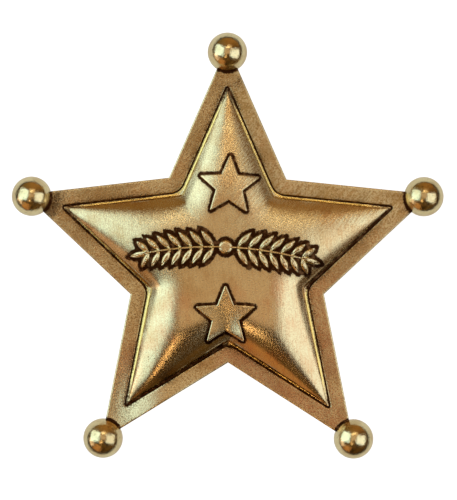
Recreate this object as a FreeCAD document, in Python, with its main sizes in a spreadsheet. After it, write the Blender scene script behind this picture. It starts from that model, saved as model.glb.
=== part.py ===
import FreeCAD
import Part
import Sketcher
import math
import os

# A five-pointed star badge: a flat star with a grooved rim, a puffed and
# hollow-backed centre with raised relief, a round ball on each point and a plain
# brooch pin behind. It lies face up on its five balls, with the floor at z = 0.
# Lengths are millimetres and bearings are degrees, counted from +X towards +Y.

Vector = FreeCAD.Vector
UP = Vector(0, 0, 1)

# Driving dimensions: name, value and what it measures
DIMENSIONS = (
    ("ball_diameter", 6.35, "round ball on each point"),
    ("plate_thickness", 1.6, "flat star, measured at its rim"),
    ("edge_chamfer", 0.2, "bevel along the star's upper edge"),
    ("fit_gap", 0.05, "space left between two separate pieces"),
    ("rim_width", 2.83, "star's edge to the foot of the puffed centre"),
    ("groove_width", 0.38, "groove around the puffed centre"),
    ("groove_depth", 0.35, "groove below the rim's face"),
    ("puff_rise", 3.4, "groove's floor to the flat top of the centre"),
    ("flank_width", 6.2, "foot of the centre to where its top is flat"),
    ("wall", 1.25, "metal over the hollow back"),
    ("hollow_spring", 0.65, "straight part of the hollow's side"),
    ("relief_height", 0.45, "raised relief above the surface around it"),
    ("small_star_reach", 5.0, "small star's centre to its points"),
    ("small_star_notch", 2.3, "small star's centre to its notches"),
    ("upper_star_right", 0.24, "upper small star, right of the centre"),
    ("upper_star_up", 12.56, "upper small star, above the centre"),
    ("upper_star_lean", -2.0, "upper small star's turn"),
    ("lower_star_right", -0.37, "lower small star, right of the centre"),
    ("lower_star_up", -8.24, "lower small star, above the centre"),
    ("lower_star_lean", 0.0, "lower small star's turn"),
    ("sprig_right", -0.35, "middle of the leafy band, right of the centre"),
    ("sprig_up", 2.8, "middle of the leafy band, above the centre"),
    ("sprig_lean", -2.2, "leafy band's turn"),
    ("sprig_radius", 56.0, "arch that the leafy band follows"),
    ("sprig_stem", 0.42, "stem's width"),
    ("sprig_half", 12.2, "stem's length on each side of the middle"),
    ("sprig_pellet", 2.3, "round pellet at the middle"),
    ("leaf_length", 3.5, "leaf from root to point"),
    ("leaf_width", 1.05, "leaf at its widest"),
    ("leaf_taper", 0.2, "share by which the outermost leaves are shorter"),
    ("leaf_slant", 52.0, "leaf's angle to the stem"),
    ("leaf_first", 1.75, "first pair of leaves from the middle"),
    ("leaf_pitch", 1.74, "one pair of leaves to the next"),
    ("pin_up", 2.6, "brooch pin above the centre"),
    ("pin_length", 18.0, "brooch pin's bar"),
    ("pin_width", 2.6, "brooch pin's bar"),
    ("pin_bar", 0.8, "brooch pin's bar, thickness"),
    ("pin_gap", 0.12, "brooch pin's bar to the hollow's ceiling"),
    ("pin_low", 1.2, "wire's lowest point above the floor"),
    ("pin_wire", 0.9, "wire's diameter"),
    ("pin_point", 3.0, "tapered end of the wire"),
    ("pin_block", 2.6, "length of the block and of the catch"),
)

# One row for each arm, clockwise from the top: how far its point, the notch after
# it and its ball are from the star's centre, each with its bearing
ARM_COLUMNS = ("tip_reach", "tip_bearing", "notch_reach", "notch_bearing", "ball_reach", "ball_bearing")
ARMS = (
    ("top", 35.16, 90.1, 16.55, 55.4, 34.01, 90.1),
    ("upper_right", 34.41, 19.1, 16.11, -17.2, 33.24, 19.1),
    ("lower_right", 34.98, -54.8, 15.69, -89.8, 34.44, -54.2),
    ("lower_left", 34.63, -125.7, 16.28, -163.1, 34.24, -125.7),
    ("upper_left", 34.37, 160.9, 16.79, 124.1, 33.29, 160.8),
)
LEAF_PAIRS = 7

# Spans of the curved surfaces, and how soft the line between arm and flank is
SPANS_ALONG = 10
SPANS_ACROSS = 10
SOFTNESS = 6

doc = FreeCAD.newDocument("star_badge")
sheet = doc.addObject("Spreadsheet::Sheet", "sizes")


def write_sizes():
    """Fills the sheet: what each size is in column A, its value in column B."""
    rows = [(name, value, note) for name, value, note in DIMENSIONS]
    for arm, *values in ARMS:
        rows += [(f"{arm}_{column}", value, f"{arm} arm") for column, value in zip(ARM_COLUMNS, values)]
    for line, (name, value, note) in enumerate(rows, start=1):
        sheet.set(f"A{line}", note)
        sheet.set(f"B{line}", str(value))
        sheet.setAlias(f"B{line}", name)
    doc.recompute()


def size(name):
    """A driving dimension as a plain number."""
    return float(sheet.get(name))


def bind(thing, **expressions):
    """Binds properties of an object to the sheet's cells."""
    for name, expression in expressions.items():
        thing.setExpression(name.replace("__", "."), expression)


def polar(reach, bearing):
    angle = math.radians(bearing)
    return (reach * math.cos(angle), reach * math.sin(angle))


# The star's outline

def outline_corners():
    """Points and notches in turn, clockwise from the top point, about the star's centre."""
    corners = []
    for arm, *_ in ARMS:
        corners.append(polar(size(f"{arm}_tip_reach"), size(f"{arm}_tip_bearing")))
        corners.append(polar(size(f"{arm}_notch_reach"), size(f"{arm}_notch_bearing")))
    return corners


def edge_line(start, end):
    """The line through two corners as (nx, ny, offset), its normal pointing into the star."""
    dx = end[0] - start[0]
    dy = end[1] - start[1]
    length = math.hypot(dx, dy)
    return (dy / length, -dx / length, (start[0] * dy - start[1] * dx) / length)


def edge_lines(corners):
    return [edge_line(corner, corners[(i + 1) % len(corners)]) for i, corner in enumerate(corners)]


def inset(corners, distance):
    """The same outline with every edge moved inwards."""
    lines = edge_lines(corners)
    moved = []
    for i, (bx, by, b) in enumerate(lines):
        ax, ay, a = lines[i - 1]
        a += distance
        b += distance
        cross = ax * by - ay * bx
        moved.append(((a * by - ay * b) / cross, (ax * b - a * bx) / cross))
    return moved


def star_sketch(owner, name):
    """A sketch of the outline, each corner held to the sheet by its distances from the centre."""
    sketch = owner("Sketcher::SketchObject", name)
    corners = [Vector(x, y, 0) for x, y in outline_corners()]
    count = len(corners)
    for i, corner in enumerate(corners):
        sketch.addGeometry(Part.LineSegment(corner, corners[(i + 1) % count]), False)
    for i in range(count):
        sketch.addConstraint(Sketcher.Constraint("Coincident", i, 2, (i + 1) % count, 1))
    for i, corner in enumerate(corners):
        key = f"{ARMS[i // 2][0]}_{'notch' if i % 2 else 'tip'}"
        for direction, function, distance in (("X", "cos", corner.x), ("Y", "sin", corner.y)):
            index = sketch.addConstraint(
                Sketcher.Constraint(f"Distance{direction}", -1, 1, i, 1, distance)
            )
            sketch.renameConstraint(index, f"{key}_{direction.lower()}")
            sketch.setExpression(
                f"Constraints.{key}_{direction.lower()}",
                f"sizes.{key}_reach * {function}(sizes.{key}_bearing)",
            )
    return sketch


# Surfaces of the puffed centre

def knot_row(spans):
    """Knots of an even clamped cubic curve, and how often each counts."""
    return [i / spans for i in range(spans + 1)], [4] + [1] * (spans - 1) + [4]


def pole_places(spans):
    """Where along the curve each of its poles acts."""
    knots, counts = knot_row(spans)
    flat = [knot for knot, count in zip(knots, counts) for _ in range(count)]
    return [sum(flat[i + 1:i + 4]) / 3 for i in range(spans + 3)]


def puff_height(along, inward, shape):
    """Height above the foot. along runs from an arm's point to its notch, inward from edge to middle.

    An arm is half of an elliptic cone, and the body's flank a quarter of an ellipse
    that ends in the flat top. The lower of the two is taken, softly.
    """
    near = along * inward * shape["deep"]
    far = along * (shape["across"] + (shape["deep"] - shape["across"]) * inward)
    if near <= 0:
        return 0.0
    within = min(near, shape["flank"])
    arm = near * far
    flank = within * (2 * shape["flank"] - within)
    both = (arm ** -SOFTNESS + flank ** -SOFTNESS) ** (-1 / SOFTNESS)
    return shape["rise"] / shape["flank"] * math.sqrt(both)


def half_arm(tip, notch, spring, shape):
    """The curved face over half an arm, with the notch's share of the middle."""
    rows = []
    for along in pole_places(SPANS_ALONG):
        row = []
        for place in pole_places(SPANS_ACROSS):
            inward = place * place * (2 - place)
            x = (1 - along) * tip[0] + along * (1 - inward) * notch[0]
            y = (1 - along) * tip[1] + along * (1 - inward) * notch[1]
            row.append(Vector(x, y, spring + puff_height(along, inward, shape)))
        rows.append(row)
    knots_along, counts_along = knot_row(SPANS_ALONG)
    knots_across, counts_across = knot_row(SPANS_ACROSS)
    surface = Part.BSplineSurface()
    surface.buildFromPolesMultsKnots(
        rows, counts_along, counts_across, knots_along, knots_across, False, False, 3, 3
    )
    return surface.toShape()


def puffed_star(corners, low, spring, rise, flank):
    """A star with straight sides from low up to spring and a puffed top above them."""
    count = len(corners)
    lines = edge_lines(corners)
    depths = [-offset for _, _, offset in lines]
    spans = [
        lines[i][0] * corners[i - 1][0] + lines[i][1] * corners[i - 1][1] - lines[i][2]
        for i in range(0, count, 2)
    ]
    shape = {
        "deep": sum(depths) / len(depths),
        "across": sum(spans) / len(spans),
        "rise": rise,
        "flank": flank,
    }
    faces = []
    for i in range(0, count, 2):
        faces.append(half_arm(corners[i], corners[i - 1], spring, shape))
        faces.append(half_arm(corners[i], corners[i + 1], spring, shape))
    foot = [Vector(x, y, spring) for x, y in corners]
    base = [Vector(x, y, low) for x, y in corners]
    for i in range(count):
        j = (i + 1) % count
        faces.append(Part.Face(Part.makePolygon([base[i], base[j], foot[j], foot[i], base[i]])))
    faces.append(Part.Face(Part.makePolygon(base + [base[0]])))
    shell = Part.makeShell(faces)
    shell.sewShape()
    solid = Part.makeSolid(shell)
    if solid.Volume < 0:
        solid.reverse()
    return solid


# Raised relief, drawn flat and then cut to the surface that it lies on

def small_star(which):
    """A plain five-pointed star."""
    middle = Vector(size(f"{which}_star_right"), size(f"{which}_star_up"), 0)
    points = []
    for i in range(10):
        reach = size("small_star_notch") if i % 2 else size("small_star_reach")
        points.append(middle + Vector(*polar(reach, 90 + size(f"{which}_star_lean") + 36 * i), 0))
    return Part.Face(Part.makePolygon(points + [points[0]]))


def on_band(forward, upward):
    """A place on the leafy band: forward along its arch, upward from its stem."""
    radius = size("sprig_radius")
    lean = math.radians(size("sprig_lean"))
    x = (radius + upward) * math.sin(forward / radius)
    y = (radius + upward) * math.cos(forward / radius) - radius
    return Vector(
        size("sprig_right") + x * math.cos(lean) - y * math.sin(lean),
        size("sprig_up") + x * math.sin(lean) + y * math.cos(lean),
        0,
    )


def leaf(root, forward, upward, share=1.0):
    """A pointed leaf with two arched sides. forward and upward turn its point from the stem."""
    length = size("leaf_length") * share
    half = size("leaf_width") / 2
    ends = []
    for far, side in ((0, 0), (length / 2, half), (length, 0), (length / 2, -half)):
        ends.append(on_band(root + far * forward - side * upward, far * upward + side * forward))
    left = Part.Arc(ends[0], ends[1], ends[2]).toShape()
    right = Part.Arc(ends[2], ends[3], ends[0]).toShape()
    return Part.Face(Part.Wire([left, right]))


def sprig():
    """A leafy band: a stem, a pellet at its middle, and leaves that point away from it."""
    half = size("sprig_half")
    edge = size("sprig_stem") / 2
    slant = math.radians(size("leaf_slant"))
    upper = Part.Arc(on_band(-half, edge), on_band(0, edge), on_band(half, edge)).toShape()
    lower = Part.Arc(on_band(half, -edge), on_band(0, -edge), on_band(-half, -edge)).toShape()
    ends = [
        Part.makeLine(on_band(half, edge), on_band(half, -edge)),
        Part.makeLine(on_band(-half, -edge), on_band(-half, edge)),
    ]
    stem = Part.Face(Part.Wire([upper, ends[0], lower, ends[1]]))
    pellet = Part.Face(Part.Wire(Part.makeCircle(size("sprig_pellet") / 2, on_band(0, 0))))
    leaves = []
    for side in (-1, 1):
        for pair in range(LEAF_PAIRS):
            root = side * (size("leaf_first") + pair * size("leaf_pitch"))
            share = 1 - size("leaf_taper") * (pair / (LEAF_PAIRS - 1)) ** 3
            for upward in (-1, 1):
                leaves.append(leaf(root, side * math.cos(slant), upward * math.sin(slant), share))
        leaves.append(leaf(side * (half - edge), side, 0))
    return stem.multiFuse([pellet] + leaves)


# The pieces

def add(kind, name, **properties):
    thing = doc.addObject(kind, name)
    for key, value in properties.items():
        setattr(thing, key, value)
    return thing


def solid_feature(name, shape, place):
    """A piece of the model that only code can shape."""
    feature = add("Part::Feature", name, Shape=shape)
    feature.Placement = place
    return feature


def extruded(name, profile, length, place):
    """An outline given thickness, with its length bound to the sheet."""
    block = add("Part::Extrusion", name, Base=profile, DirMode="Custom", Dir=UP, Solid=True)
    bind(block, LengthFwd=length)
    block.Placement = place
    return block


def shifted_outline(name, profile, distance, join="Intersection"):
    """The outline moved in or out by a bound distance, with corners that are sharp or arcs."""
    outline = add("Part::Offset2D", name, Source=profile, Join=join, Fill=False)
    bind(outline, Value=distance)
    return outline


def plate_body(place):
    """The flat star, padded from its sketch, with a bevel along its upper edge."""
    body = doc.addObject("PartDesign::Body", "plate")
    sketch = star_sketch(body.newObject, "plate_outline")
    ground = [f for f in body.Origin.OriginFeatures if f.Role == "XY_Plane"][0]
    sketch.AttachmentSupport = [(ground, "")]
    sketch.MapMode = "FlatFace"
    pad = body.newObject("PartDesign::Pad", "plate_pad")
    pad.Profile = sketch
    bind(pad, Length="sizes.plate_thickness")
    doc.recompute()
    upper = []
    for i, edge in enumerate(pad.Shape.Edges, start=1):
        if edge.BoundBox.ZMin > size("plate_thickness") / 2:
            upper.append(f"Edge{i}")
    bevel = body.newObject("PartDesign::Chamfer", "plate_bevel")
    bevel.Base = (pad, upper)
    bind(bevel, Size="sizes.edge_chamfer")
    body.Tip = bevel
    body.Placement = place
    doc.recompute()
    return body


def middle_of_box():
    """The star's centre, placed so that the whole badge is centred on the origin."""
    radius = size("ball_diameter") / 2
    balls = [polar(size(f"{arm}_ball_reach"), size(f"{arm}_ball_bearing")) for arm, *_ in ARMS]
    across = [x for x, _ in balls]
    upward = [y for _, y in balls]
    return Vector(-(min(across) + max(across)) / 2, -(min(upward) + max(upward)) / 2, radius)


def star_piece(centre, outline):
    """The casting: grooved rim, puffed centre, relief and hollow back, all one solid."""
    bottom = centre - UP * size("plate_thickness") / 2
    floor = size("plate_thickness") - size("groove_depth")
    corners = outline_corners()
    at_bottom = FreeCAD.Placement(bottom, FreeCAD.Rotation())
    at_floor = FreeCAD.Placement(bottom + UP * floor, FreeCAD.Rotation())

    plate = plate_body(at_bottom)
    # Moved in and then out again with arcs, the groove's outer side turns softly at every corner
    inner = shifted_outline("groove_middle", outline, "-sizes.rim_width", "Arc")
    outer = shifted_outline("groove_outline", inner, "sizes.groove_width", "Arc")
    recess = extruded("recess", outer, "sizes.plate_thickness", at_floor)
    rim = add("Part::Cut", "rim", Base=plate, Tool=recess)

    foot = inset(corners, size("rim_width"))
    rise = size("puff_rise")
    flank = size("flank_width")
    sunk = size("groove_depth")
    puff = puffed_star(foot, -sunk, 0, rise, flank)
    dome = solid_feature("dome", puff, at_floor)

    drawn = small_star("upper").multiFuse([small_star("lower"), sprig()])
    block = drawn.extrude(UP * (2 * rise))
    lifted = puffed_star(foot, -sunk, size("relief_height"), rise, flank)
    relief = solid_feature("relief", block.common(lifted), at_floor)

    wall = size("wall")
    spring = size("hollow_spring")
    ceiling = floor + rise - wall
    inside = inset(corners, size("rim_width") + wall)
    cavity = puffed_star(inside, -wall, spring, ceiling - spring, flank - wall)
    hollow = solid_feature("hollow", cavity, at_bottom)

    body = add("Part::MultiFuse", "body", Shapes=[rim, dome, relief])
    star = add("Part::Cut", "star", Base=body, Tool=hollow)
    return star


def ball_pieces(centre, outline):
    """A ball for each point, with a blind slot that takes the point and leaves the fit's gap."""
    grown = shifted_outline("seat_outline", outline, "sizes.fit_gap")
    low = centre - UP * (size("plate_thickness") / 2 + size("fit_gap"))
    seat = extruded(
        "seat", grown, "sizes.plate_thickness + 2 * sizes.fit_gap", FreeCAD.Placement(low, FreeCAD.Rotation())
    )
    pieces = []
    for arm, *_ in ARMS:
        ball = add("Part::Sphere", f"ball_{arm}")
        bind(
            ball,
            Radius="sizes.ball_diameter / 2",
            Placement__Base__x=f"{centre.x} + sizes.{arm}_ball_reach * cos(sizes.{arm}_ball_bearing)",
            Placement__Base__y=f"{centre.y} + sizes.{arm}_ball_reach * sin(sizes.{arm}_ball_bearing)",
            Placement__Base__z="sizes.ball_diameter / 2",
        )
        pieces.append(add("Part::Cut", f"ball_tip_{arm}", Base=ball, Tool=seat))
    return pieces


def brooch_pin(centre):
    """The fastening behind: a bar under the hollow's ceiling, a block, a catch and the wire."""
    ceiling = (
        "(sizes.ball_diameter + sizes.plate_thickness) / 2 - sizes.groove_depth"
        " + sizes.puff_rise - sizes.wall - sizes.pin_gap"
    )
    row = f"{centre.y} + sizes.pin_up"
    left = f"{centre.x} - sizes.pin_length / 2"
    wire_row = "sizes.pin_low + sizes.pin_wire / 2"

    bar = add("Part::Box", "pin_bar")
    bind(
        bar,
        Length="sizes.pin_length",
        Width="sizes.pin_width",
        Height="sizes.pin_bar",
        Placement__Base__x=left,
        Placement__Base__y=f"{row} - sizes.pin_width / 2",
        Placement__Base__z=f"{ceiling} - sizes.pin_bar",
    )
    blocks = []
    for name, start in (("pin_catch", left), ("pin_block", f"{left} + sizes.pin_length - sizes.pin_block")):
        post = add("Part::Box", f"{name}_post")
        bind(
            post,
            Length="sizes.pin_block",
            Width="sizes.pin_bar * 2",
            Height=f"{ceiling} - ({wire_row})",
            Placement__Base__x=start,
            Placement__Base__y=f"{row} - sizes.pin_bar",
            Placement__Base__z=wire_row,
        )
        barrel = add("Part::Cylinder", f"{name}_barrel")
        bind(
            barrel,
            Radius="sizes.pin_bar",
            Height="sizes.pin_block",
            Placement__Base__x=start,
            Placement__Base__y=row,
            Placement__Base__z=wire_row,
        )
        barrel.Placement.Rotation = FreeCAD.Rotation(Vector(0, 1, 0), 90)
        blocks += [post, barrel]

    wire = add("Part::Cylinder", "pin_wire")
    bind(
        wire,
        Radius="sizes.pin_wire / 2",
        Height="sizes.pin_length - 0.5 * sizes.pin_block",
        Placement__Base__x=f"{left} + 0.5 * sizes.pin_block",
        Placement__Base__y=row,
        Placement__Base__z=wire_row,
    )
    wire.Placement.Rotation = FreeCAD.Rotation(Vector(0, 1, 0), 90)
    point = add("Part::Cone", "pin_point")
    bind(
        point,
        Radius1="sizes.pin_wire / 2",
        Radius2="sizes.pin_wire / 8",
        Height="sizes.pin_point",
        Placement__Base__x=f"{left} + 0.5 * sizes.pin_block",
        Placement__Base__y=row,
        Placement__Base__z=wire_row,
    )
    point.Placement.Rotation = FreeCAD.Rotation(Vector(0, 1, 0), -90)
    return add("Part::MultiFuse", "brooch_pin", Shapes=[bar, wire, point] + blocks)


def check(pieces):
    """Stops if anything in the model failed, before a file is written."""
    for thing in doc.Objects:
        if "Invalid" in thing.State or "Error" in thing.State:
            raise RuntimeError(f"{thing.Label} failed: {thing.State}")
    for piece in pieces:
        shape = piece.Shape
        if shape.isNull() or not shape.isValid() or len(shape.Solids) != 1:
            raise RuntimeError(f"{piece.Label} is not one valid solid")


write_sizes()
star_centre = middle_of_box()
star_outline = star_sketch(doc.addObject, "star_outline")
doc.recompute()
pieces = [star_piece(star_centre, star_outline)]
pieces += ball_pieces(star_centre, star_outline)
pieces.append(brooch_pin(star_centre))
doc.recompute()
check(pieces)

os.makedirs("parts", exist_ok=True)
for piece in pieces:
    piece.Shape.exportStep(f"parts/{piece.Label}.step")
    box = piece.Shape.BoundBox
    print(
        f"{piece.Label}: {piece.Shape.Volume:.1f} mm3, z {box.ZMin:.2f} to {box.ZMax:.2f},"
        f" {box.XLength:.2f} by {box.YLength:.2f}"
    )
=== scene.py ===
# %% [markdown]
# # A five-pointed star badge
#
# The object is a cast brass badge about 69 mm wide. It lies face up on the five round
# balls of its points, with a puffed, hollow-backed middle, raised ornament and a
# brooch pin behind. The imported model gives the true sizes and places. Everything
# here is dressed around it, in metres, with +Z up and +Y towards the top point.

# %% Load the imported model
import bpy
import math
import numpy as np
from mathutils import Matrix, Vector
from mathutils.geometry import delaunay_2d_cdt


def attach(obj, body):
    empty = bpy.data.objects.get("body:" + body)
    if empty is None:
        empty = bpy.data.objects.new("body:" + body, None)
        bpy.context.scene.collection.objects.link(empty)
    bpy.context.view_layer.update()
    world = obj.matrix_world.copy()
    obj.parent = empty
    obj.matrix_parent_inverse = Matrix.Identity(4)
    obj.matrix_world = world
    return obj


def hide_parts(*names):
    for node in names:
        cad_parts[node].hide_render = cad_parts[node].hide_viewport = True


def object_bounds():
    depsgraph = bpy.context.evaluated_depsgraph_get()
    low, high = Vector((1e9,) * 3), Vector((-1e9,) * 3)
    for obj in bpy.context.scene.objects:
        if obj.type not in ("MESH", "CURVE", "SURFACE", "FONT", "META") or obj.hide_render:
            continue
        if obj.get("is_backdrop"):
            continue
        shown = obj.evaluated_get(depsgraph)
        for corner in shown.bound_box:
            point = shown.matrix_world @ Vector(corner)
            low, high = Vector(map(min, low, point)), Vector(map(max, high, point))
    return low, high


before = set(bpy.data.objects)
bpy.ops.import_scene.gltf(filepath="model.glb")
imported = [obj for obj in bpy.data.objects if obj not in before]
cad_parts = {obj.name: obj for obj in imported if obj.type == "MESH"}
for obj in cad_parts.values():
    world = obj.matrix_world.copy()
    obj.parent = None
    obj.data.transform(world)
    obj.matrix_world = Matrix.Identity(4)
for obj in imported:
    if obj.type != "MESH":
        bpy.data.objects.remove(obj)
cad_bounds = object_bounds()
MM = 0.001
print("CAD box, mm:", [[round(x / MM, 2) for x in corner] for corner in cad_bounds])

# %% [markdown]
# ## The plan of the star
#
# The casting was drawn flat before it was given any height, so the plan comes first.
# Each arm is a row of a short table: how far its point and the next notch lie from
# the star's centre, and at what bearing. The real star is slightly uneven, as a
# hand-cut pattern is, so the five rows differ a little. Sizes here are millimetres,
# and they are turned into metres only when a mesh is made.

# %% Sizes of the star
# tip reach, tip bearing, notch reach, notch bearing, clockwise from the top
ARMS = (
    ("top", 35.16, 90.1, 16.55, 55.4),
    ("upper_right", 34.41, 19.1, 16.11, -17.2),
    ("lower_right", 34.98, -54.8, 15.69, -89.8),
    ("lower_left", 34.63, -125.7, 16.28, -163.1),
    ("upper_left", 34.37, 160.9, 16.79, 124.1),
)
# where the star's centre lies from the middle of the badge's box
CENTRE = np.array([0.015, -3.039])
PLATE_LOW = 2.375
PLATE_THICK = 1.6
RIM_TOP = PLATE_LOW + PLATE_THICK
RIM_WIDTH = 2.83
GROOVE_WIDTH = 0.38
GROOVE_DEPTH = 0.35
FLOOR_OF_GROOVE = RIM_TOP - GROOVE_DEPTH
PUFF_RISE = 3.4
FLANK_WIDTH = 6.2
WALL = 1.25
HOLLOW_SPRING = 0.65
RELIEF = 0.45
BALL_RADIUS = 3.175


def polar(reach, bearing):
    """A place in the plan, from its distance and its bearing in degrees."""
    angle = math.radians(bearing)
    return np.array([reach * math.cos(angle), reach * math.sin(angle)])


corners = []
for _, tip_reach, tip_bearing, notch_reach, notch_bearing in ARMS:
    corners.append(polar(tip_reach, tip_bearing))
    corners.append(polar(notch_reach, notch_bearing))
corners = np.array(corners)
print("star outline:", len(corners), "corners,", round(float(np.ptp(corners[:, 0])), 1), "mm across")

# %% [markdown]
# ## Rings around an outline
#
# Every edge on the badge follows an outline: the rim's bevel, the groove, the walls of
# the raised work. A ring is the outline moved in or out by a distance. Where it is
# moved away from a corner that points the same way, a real cutter leaves an arc, and
# everywhere else the edges still meet in a sharp corner. An inset tool would do for
# one face, but it leaves no arcs, so one function makes all of the rings.

# %% Rings
CORNERS_ONLY = 1e9


def edge_normals(outline):
    """Unit normals of a clockwise outline's edges, pointing out of it."""
    along = np.roll(outline, -1, axis=0) - outline
    along /= np.linalg.norm(along, axis=1)[:, None]
    return np.stack([-along[:, 1], along[:, 0]], axis=1)


def ring(outline, grow, spacing=0.5, rounded=True):
    """The outline moved outwards by grow, as points about spacing apart."""
    normals = edge_normals(outline)
    count = len(outline)
    stops = []
    for i in range(count):
        before, after = normals[i - 1], normals[i]
        turn = before[0] * after[1] - before[1] * after[0]
        opens = -turn * grow > 0
        if opens and rounded:
            start = math.atan2(before[1], before[0])
            sweep = math.atan2(turn, float(before @ after))
            steps = max(3, int(abs(sweep * grow) / spacing * 2))
            angles = start + sweep * np.linspace(0, 1, steps + 1)
            arc = outline[i] + grow * np.stack([np.cos(angles), np.sin(angles)], axis=1)
            stops.append(arc)
        else:
            shift = (before + after) / (1 + float(before @ after))
            stops.append((outline[i] + grow * shift)[None])
    points = []
    for i in range(count):
        here, there = stops[i], stops[(i + 1) % count]
        points.extend(here)
        gap = there[0] - here[-1]
        steps = max(1, round(float(np.linalg.norm(gap)) / spacing))
        points.extend(here[-1] + gap * (step / steps) for step in range(1, steps))
    return np.array(points)


foot = ring(corners, -RIM_WIDTH, CORNERS_ONLY, rounded=False)
print("foot of the puffed middle:", len(foot), "corners")

# %% [markdown]
# ## Distances
#
# The rim's profile and all of the wear go by how far a place is from an edge. The
# distances could be baked into a picture, but it would blur the finest lines. The
# distance to a straight line is short and exact, so it is worked out for each point.


# %% Distances
def to_line(points, start, end):
    """Distance from points to the straight line between two places."""
    line = end - start
    share = np.clip((points - start) @ line / (line @ line), 0, 1)
    return np.linalg.norm(points - start - share[:, None] * line, axis=1)


def distance_to(outline, points):
    """Signed distance from points to an outline: negative inside."""
    nearest = np.full(len(points), np.inf)
    inside = np.zeros(len(points), bool)
    for i in range(len(outline)):
        a, b = outline[i], outline[(i + 1) % len(outline)]
        nearest = np.minimum(nearest, to_line(points, a, b))
        crosses = (a[1] > points[:, 1]) != (b[1] > points[:, 1])
        rise = b[1] - a[1] if b[1] != a[1] else 1e-12
        inside ^= crosses & (points[:, 0] < a[0] + (points[:, 1] - a[1]) * (b[0] - a[0]) / rise)
    return np.where(inside, -nearest, nearest)


def nearest_edge(outline, points):
    """Which edge of the outline is nearest to each point."""
    ends = np.roll(outline, -1, axis=0)
    return np.argmin([to_line(points, a, b) for a, b in zip(outline, ends)], axis=0)


from_centre = -float(distance_to(corners, np.zeros((1, 2)))[0])
print("from the centre to the nearest edge:", round(from_centre, 2), "mm")

# %% [markdown]
# ## The puffed middle
#
# The middle of the real badge is blown up like a cushion: each arm is a soft ridge and
# the body is flat on top. It could be sculpted, but a formula gives clean reflections.
# An arm is half of an elliptic cone, whose height is the square root of its distances
# to the arm's two edges. The body's flank is a quarter of an ellipse. The lower of the
# two is taken, with a soft change between them, and the valleys at the notches are
# rounded a little, as they are in a casting.

# %% Height of the puffed middle
ARM_SOFTNESS = 6
VALLEY_ROUND = 1.3
VALLEY_SHARE = 0.8


def puff_height(points, outline, rise, flank):
    """Height above the foot, and how far in from the foot each point lies."""
    count = len(outline)
    normals = edge_normals(outline)
    offsets = np.sum(normals * outline, axis=1)
    deep = offsets.mean()
    across = np.mean([offsets[i] - normals[i] @ outline[i - 1] for i in range(0, count, 2)])
    bearings = np.unwrap(np.arctan2(outline[:, 1], outline[:, 0])[::-1])[::-1]
    angle = bearings[0] - np.mod(bearings[0] - np.arctan2(points[:, 1], points[:, 0]), 2 * np.pi)
    sector = np.clip(np.searchsorted(-bearings, -angle, side="right") - 1, 0, count - 1)
    near = np.full(len(points), -1.0)
    along = np.zeros(len(points))
    for i in range(count):
        mine = sector == i
        after = (i + 1) % count
        tip, notch = (i, after) if i % 2 == 0 else (after, i)
        neighbour = after if i % 2 == 0 else i - 1
        share = points[mine] @ np.linalg.inv(np.stack([outline[tip], outline[notch]]))
        own = (1 - share.sum(axis=1)) * deep
        beside = offsets[neighbour] - points[mine] @ normals[neighbour]
        soft = np.minimum(VALLEY_ROUND, VALLEY_SHARE * np.maximum(own, 0))
        joined = 0.5 * (own + beside + np.sqrt((own - beside) ** 2 + soft ** 2))
        near[mine] = np.where(own > 0, np.maximum(own, joined), own)
        along[mine] = 1 - share[:, 0]
    depth = np.maximum(near, 1e-9)
    far = np.maximum(along * across + (deep - across) * depth / deep, depth)
    within = np.minimum(depth, flank)
    arm = depth * far
    side = within * (2 * flank - within)
    lower = (arm ** -ARM_SOFTNESS + side ** -ARM_SOFTNESS) ** (-1 / ARM_SOFTNESS)
    return np.where(near > 0, rise / flank * np.sqrt(lower), 0.0), near


trial = np.array([[0.0, 0.0], [0.0, 20.0], [0.0, 27.0]])
trial_height = puff_height(trial, foot, PUFF_RISE, FLANK_WIDTH)[0]
print("height at the centre and up the top arm, mm:", np.round(trial_height, 2))

# %% [markdown]
# ## The raised ornament
#
# Two small stars and a leafy band stand up from the middle. Each shape is kept as two
# small functions. One tells how far any place is from the shape's edge, less than
# nothing inside it. The other draws the shape's edge moved out by a distance. The first
# gives heights and dark corners, and the second puts the mesh's edges where the metal
# turns. Beside them stand four measures: how high the steep side is, how far in the
# top is still rounded, where the mesh gets its rings, and how far the dark ground goes.

# %% Small stars
SIDE_LEAN = 0.02
STAR_REACH = 5.25
STAR_NOTCH = 2.3
STAR_TIP_ROUND = 0.2
SMALL_STARS = ((0.24, 12.56, -2.0), (-0.37, -8.24, 0.0))


def small_star(right, up, lean):
    """A small star with slightly rounded points."""
    sharp = [polar(STAR_NOTCH if i % 2 else STAR_REACH, 90 + lean - 36 * i) for i in range(10)]
    inner = ring(np.array(sharp) + [right, up], -STAR_TIP_ROUND, CORNERS_ONLY, rounded=False)
    return {
        "away": lambda points: distance_to(inner, points) - STAR_TIP_ROUND,
        "edge": lambda grow: ring(inner, STAR_TIP_ROUND + grow, 0.25),
        "wall": 0.29,
        "round": 0.16,
        "rings": (SIDE_LEAN, -SIDE_LEAN, -0.035, -0.065, -0.11, -0.19),
        "ground": (0.27, 0.68),
    }


print("edge of a small star:", len(small_star(*SMALL_STARS[0])["edge"](0)), "points")

# %% [markdown]
# ### The leafy band
#
# The band bends like a shallow bow. Its leaves, stem and pellet are drawn straight, by
# how far along and how far above the stem a place is, and one function lays them on
# the bow. A curve modifier could bend a finished mesh, but the same function also
# serves the distances here.

# %% Places along the band
BAND_RIGHT, BAND_UP, BAND_LEAN = -0.35, 2.8, math.radians(-2.2)
BAND_RADIUS = 56.0
BAND_HALF = 12.2
BAND_GROUND = (0.36, 0.80)


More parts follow.
